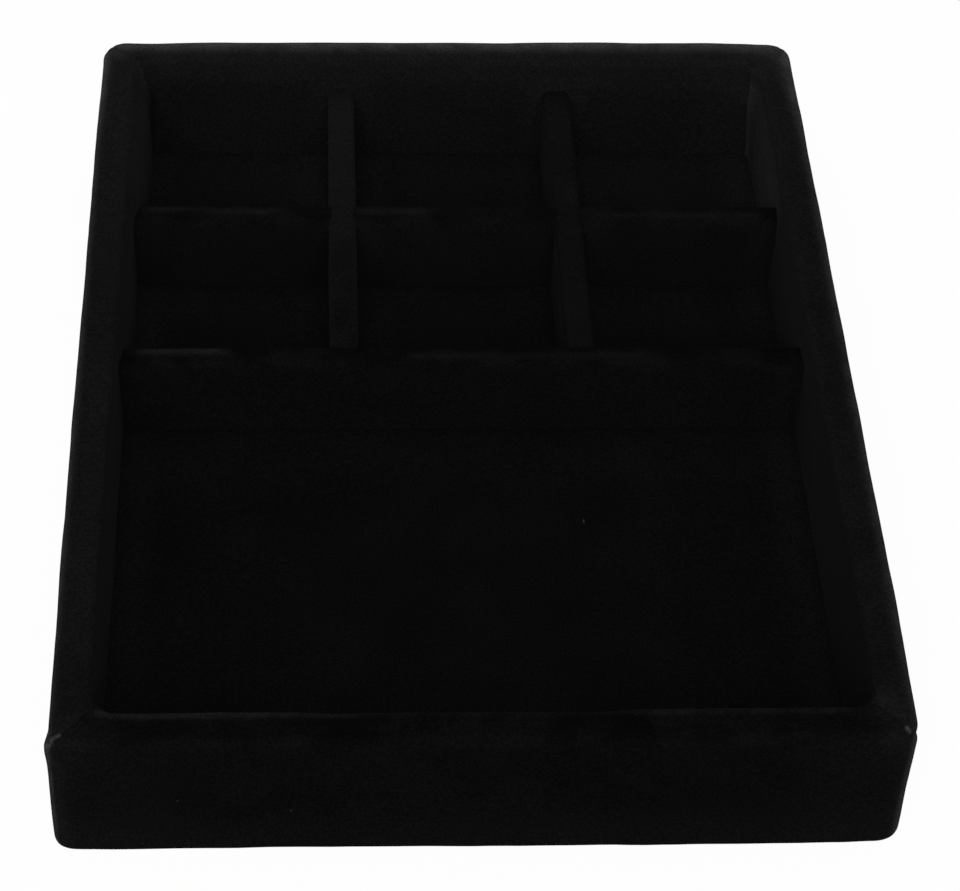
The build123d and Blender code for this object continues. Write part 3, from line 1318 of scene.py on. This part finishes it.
def effect_group(name):
    """The node group of a shared effect, built the first time that a material asks for it."""
    groups = bpy.data.node_groups
    if name not in groups:
        build, inputs, outputs = EFFECTS[name]
        tree = groups.new(name, "ShaderNodeTree")
        add_socket = tree.interface.new_socket
        for label, default in inputs.items():
            socket = add_socket(name=label, in_out="INPUT", socket_type="NodeSocketFloat")
            socket.default_value = default
        for label in outputs:
            add_socket(name=label, in_out="OUTPUT", socket_type="NodeSocketFloat")
        given = tree.nodes.new("NodeGroupInput").outputs
        made = tree.nodes.new("NodeGroupOutput").inputs
        for label, value in zip(outputs, build(tree, given)):
            tree.links.new(value, made[label])
    return groups[name]


def add_bump(tree, shader, height, strength, distance):
    """Feeds a height through a Bump node to a shader's normal."""
    wires = {"Height": height, "Strength": strength, "Distance": distance}
    tree.links.new(add_node(tree, "ShaderNodeBump", wires)["Normal"], shader.inputs["Normal"])


def velvet_finish(name, top, rubbed):
    """Black cut-pile velvet. The piece's own numbers say how its pile lies and how worn it is,
    together with the light, shade and highlights painted on it.
    """
    look = bpy.context.scene.tray_finish
    material, tree, shader = new_material(name)
    # Each point's pile lie with painted light and shade, and its wear with painted highlights
    lean = add_node(tree, "ShaderNodeAttribute", {}, attribute_name="lean")["Fac"]
    wear = add_node(tree, "ShaderNodeAttribute", {}, attribute_name="wear")["Fac"]
    pile = add_effect(tree, "Cut pile", {"Tuft Size": look.tuft, "Lean": lean})
    edge = add_effect(tree, "Rubbed edge", {"Top": top, "Amount": rubbed})
    lint = add_effect(tree, "Lint", {})
    # Painted highlights, partly frayed pile, in uneven patches along the edges, folds and corners
    uneven = ramp(tree, noise(tree, on_piece(tree), scale=160.0, detail=4.0), 0.3, 0.62, low=0.6)
    fray_and_highlight = sum_up(tree, "MULTIPLY", wear, uneven)
    colour = mix_colours(tree, pile["Brushed"], look.deep, look.brushed)
    colour = mix_colours(tree, edge["Mask"], colour, look.worn)
    colour = mix_colours(tree, fray_and_highlight, colour, look.frayed_and_highlight)
    shade = ramp(tree, pile["Tips"], 0.0, 1.0, low=0.35, high=0.0)
    colour = mix_colours(tree, shade, colour, (0.0, 0.0, 0.0))
    # Painted glints on the folds' crests, in the backing's colour
    worn_through_and_glint = ramp(tree, fray_and_highlight, 0.9, 1.5)
    colour = mix_colours(tree, worn_through_and_glint, colour, look.backing)
    colour = mix_colours(tree, lint["Mask"], colour, look.lint)
    tree.links.new(colour, shader.inputs["Base Color"])
    dullness = ramp(tree, pile["Tips"], 0.0, 1.0, low=1.0, high=0.85)
    tree.links.new(dullness, shader.inputs["Roughness"])
    add_bump(tree, shader, pile["Height"], strength=0.5, distance=look.tuft / 3)
    shader.inputs["Specular IOR Level"].default_value = 0.0
    shader.inputs["Sheen Weight"].default_value = look.sheen
    shader.inputs["Sheen Roughness"].default_value = 0.3
    return material


def fibre_finish(name, colour, fibre_size, depth, sheen=0.0):
    """A finish of matted fibre in one colour, lighter and darker from place to place."""
    material, tree, shader = new_material(name)
    fibre = add_effect(tree, "Matted fibre", {"Fibre Size": fibre_size})
    tone = mix_colours(tree, fibre["Tone"], [0.75 * part for part in colour], colour)
    tree.links.new(tone, shader.inputs["Base Color"])
    dullness = ramp(tree, fibre["Tone"], 0.0, 1.0, low=0.98, high=0.88)
    tree.links.new(dullness, shader.inputs["Roughness"])
    add_bump(tree, shader, fibre["Height"], strength=0.6, distance=depth)
    shader.inputs["Specular IOR Level"].default_value = 0.2
    shader.inputs["Sheen Weight"].default_value = sheen
    return material


class TRAY_OT_board_finish(bpy.types.Operator):
    """Give the boards their fibreboard and the floor cards their grey card"""

    bl_idname = "tray.board_finish"
    bl_label = "Board Finish"

    def execute(self, context):
        look = context.scene.tray_finish
        fibreboard = fibre_finish("fibreboard", look.fibreboard, fibre_size=0.0005, depth=0.0001)
        card = fibre_finish("card", look.card, fibre_size=0.0004, depth=0.00005)
        boards = ("base_board", *WALLS, *(f"{name}_divider" for name in DIVIDERS))
        cards = [f"pad_card_{cell}" for cell in CELLS]
        for names, material in ((boards, fibreboard), (cards, card)):
            for name in names:
                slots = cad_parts[name].data.materials
                slots.clear()
                slots.append(material)
        return {"FINISHED"}


# The studio


class TRAY_OT_studio(bpy.types.Operator):
    """Set the tray on a pale floor under soft lamps and place the camera"""

    bl_idname = "tray.studio"
    bl_label = "Studio"

    def execute(self, context):
        studio = context.scene.tray_studio
        lay_floor(studio)
        hang_lamps(studio)
        light_surround(studio)
        place_camera(studio)
        context.scene.view_settings.view_transform = "Standard"
        return {"FINISHED"}


def seen_directly(tree):
    """1 for rays from the camera, by itself or by way of a mirror or glass, and 0 for light."""
    path = add_node(tree, "ShaderNodeLightPath", {})
    seen = sum_up(tree, "MAXIMUM", path["Is Camera Ray"], path["Is Glossy Ray"])
    return sum_up(tree, "MAXIMUM", seen, path["Is Transmission Ray"])


def lay_floor(studio):
    """A wide pale floor that the camera sees as nearly white, with the tray's shadow on it."""
    below = 0.0002
    bpy.ops.object.select_all(action="DESELECT")
    bpy.ops.mesh.primitive_circle_add(
        vertices=96, radius=studio.floor_size / 2, fill_type="NGON", location=(0, 0, -below)
    )
    floor = bpy.context.object
    floor.name = "floor"
    bpy.ops.object.transform_apply(location=True, rotation=True, scale=True)
    material, tree, shader = new_material("pale floor")
    shader.inputs["Base Color"].default_value = (0.82, 0.82, 0.82, 1)
    shader.inputs["Roughness"].default_value = 0.9
    white = add_node(tree, "ShaderNodeEmission", {"Color": (1, 1, 1, 1), "Strength": 1.0})["Emission"]
    share = sum_up(tree, "MULTIPLY", seen_directly(tree), studio.floor_white)
    mix = add_node(tree, "ShaderNodeMixShader", {"Fac": share, 1: shader.outputs["BSDF"], 2: white})
    tree.links.new(mix["Shader"], tree.nodes["Material Output"].inputs["Surface"])
    floor.data.materials.append(material)


def hang_lamps(studio):
    """A large lamp high in front of the tray and a small one over its far end."""
    for name, power, size, place in (
        ("key lamp", studio.key_power, 1.4, (-0.15, -1.6, 1.5)),
        ("fill lamp", studio.fill_power, 0.5, (-0.12, 0.1, 0.42)),
    ):
        lamp = bpy.data.lights.new(name, "AREA")
        lamp.energy = power
        lamp.size = size
        holder = bpy.data.objects.new(name, lamp)
        holder.location = place
        holder.rotation_euler = Vector(place).to_track_quat("Z", "Y").to_euler()
        bpy.context.scene.collection.objects.link(holder)


def light_surround(studio):
    """Even light from all round, which the camera sees as white."""
    world = bpy.data.worlds.new("surround")
    bpy.context.scene.world = world
    world.use_nodes = True
    tree = world.node_tree
    light = tree.nodes["Background"]
    light.inputs["Color"].default_value = (1, 1, 1, 1)
    light.inputs["Strength"].default_value = studio.sky
    white = {"Color": (1, 1, 1, 1), "Strength": 1.0}
    seen = add_node(tree, "ShaderNodeBackground", white)["Background"]
    wires = {"Fac": seen_directly(tree), 1: light.outputs["Background"], 2: seen}
    mix = add_node(tree, "ShaderNodeMixShader", wires)["Shader"]
    tree.links.new(mix, tree.nodes["World Output"].inputs["Surface"])


def place_camera(studio):
    """The camera at the photograph's place and angle."""
    lens = bpy.data.cameras.new("camera")
    lens.lens = studio.lens
    camera = bpy.data.objects.new("camera", lens)
    turn = Matrix.Rotation(studio.yaw, 4, "Z")
    tilt = Matrix.Rotation(math.pi / 2 - studio.pitch, 4, "X")
    lean = Matrix.Rotation(studio.roll, 4, "Z")
    camera.matrix_world = Matrix.Translation(studio.place) @ turn @ tilt @ lean
    bpy.context.scene.collection.objects.link(camera)
    bpy.context.scene.camera = camera


class TRAY_PT_panel(bpy.types.Panel):
    """Lists the tray's settings and the steps that dress it"""

    bl_idname = "TRAY_PT_panel"
    bl_label = "Velvet Display Tray"
    bl_space_type = "VIEW_3D"
    bl_region_type = "UI"
    bl_category = "Tray"

    def draw(self, context):
        for settings in SETTINGS:
            box = self.layout.box()
            group = getattr(context.scene, settings)
            for name in group.bl_rna.properties.keys():
                if name not in ("rna_type", "name"):
                    box.prop(group, name)
        for step in STEPS:
            self.layout.operator(step.bl_idname)


STEPS = (
    TRAY_OT_wall_velvet,
    TRAY_OT_divider_velvet,
    TRAY_OT_floor_velvet,
    TRAY_OT_base_felt,
    TRAY_OT_board_finish,
    TRAY_OT_studio,
)
SETTINGS = {"tray_cloth": TrayCloth, "tray_finish": TrayFinish, "tray_studio": TrayStudio}


def register():
    for kind in (*SETTINGS.values(), *STEPS, TRAY_PT_panel):
        bpy.utils.register_class(kind)
    for name, kind in SETTINGS.items():
        setattr(bpy.types.Scene, name, bpy.props.PointerProperty(type=kind))


def unregister():
    for name in SETTINGS:
        delattr(bpy.types.Scene, name)
    for kind in reversed((*SETTINGS.values(), *STEPS, TRAY_PT_panel)):
        bpy.utils.unregister_class(kind)


def main():
    """Dresses the tray step by step."""
    register()
    bpy.ops.tray.wall_velvet()
    bpy.ops.tray.divider_velvet()
    bpy.ops.tray.floor_velvet()
    bpy.ops.tray.base_felt()
    bpy.ops.tray.board_finish()
    bpy.ops.tray.studio()


if __name__ == "__main__":
    main()
